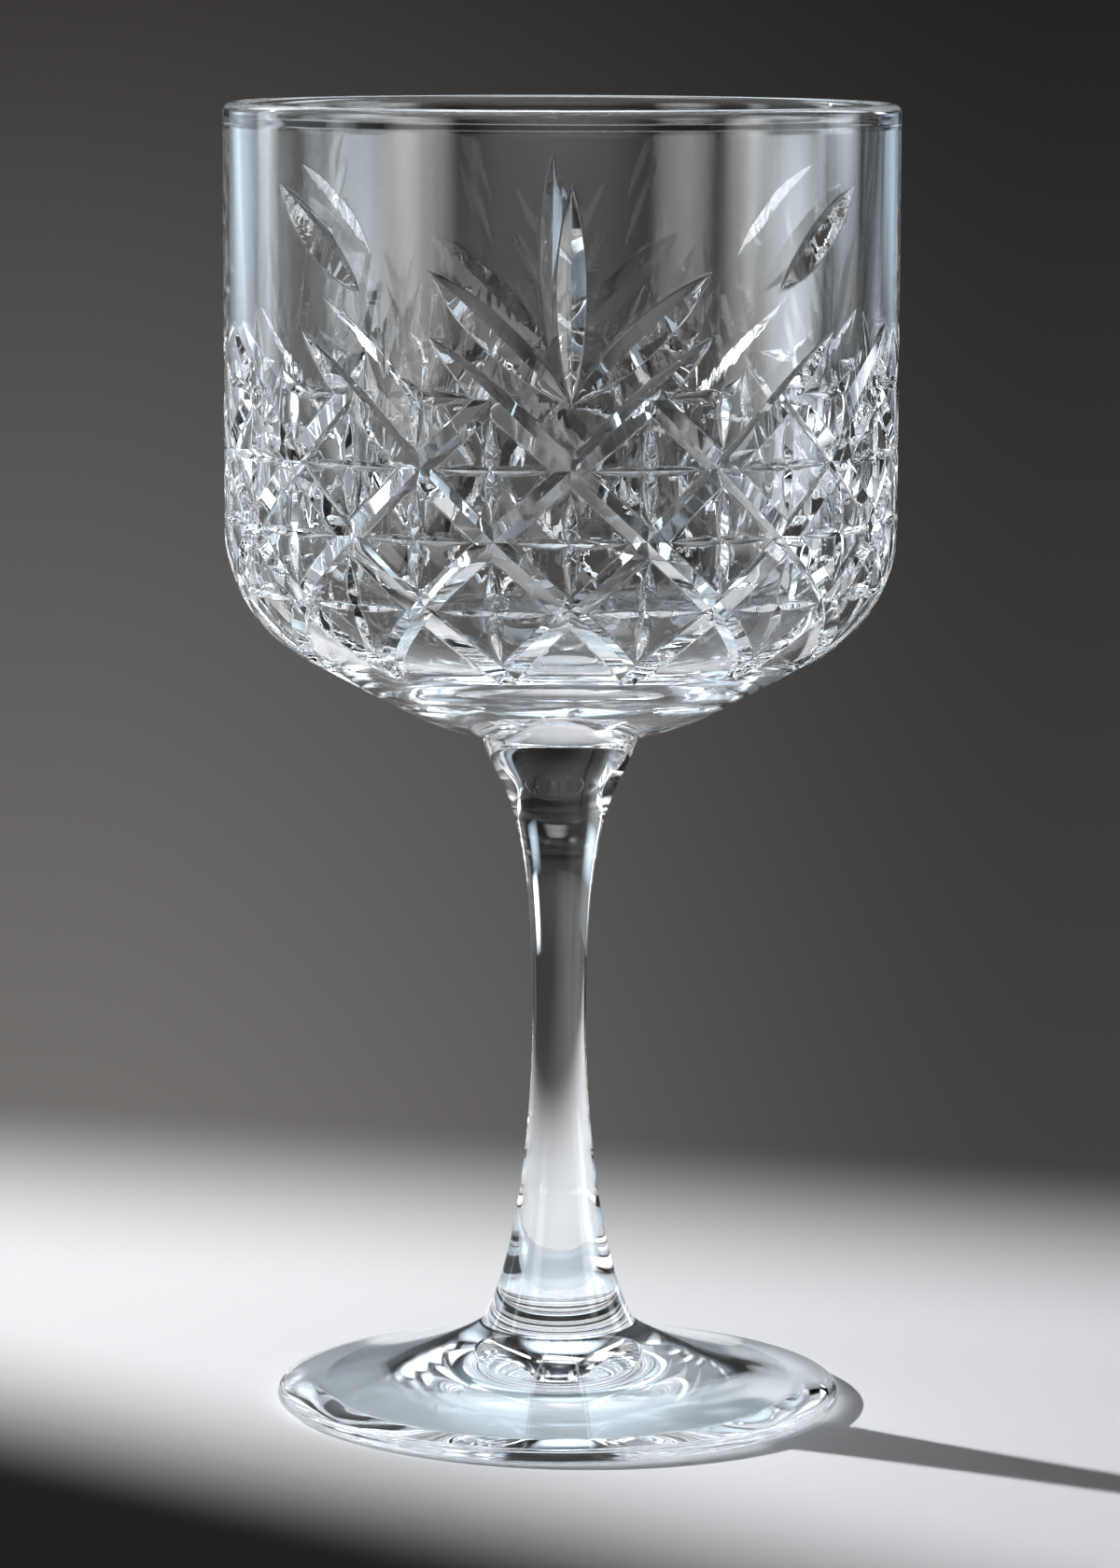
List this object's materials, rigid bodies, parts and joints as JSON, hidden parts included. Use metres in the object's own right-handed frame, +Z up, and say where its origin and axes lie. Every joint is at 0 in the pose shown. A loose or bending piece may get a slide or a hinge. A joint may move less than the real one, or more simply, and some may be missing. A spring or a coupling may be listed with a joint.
{
  "type": "stemmed gin glass",
  "caption": "Clear stemmed gin glass: an upright cut-glass bowl with a round shoulder, fused to a slender waisted stem and a wide round foot it stands on.",
  "frame": {"origin": "centre of the ring under the foot that the glass stands on", "axes": "+Z up along the glass's axis, -Y towards the front fan of the cut pattern"},
  "size_m": [0.1024, 0.1024, 0.2],
  "materials": {
    "clear_glass": "polished clear soda-lime glass"
  },
  "bodies": {
    "root": {"bowl": "clear_glass", "stem": "clear_glass", "foot": "clear_glass"}
  },
  "joints": []
}
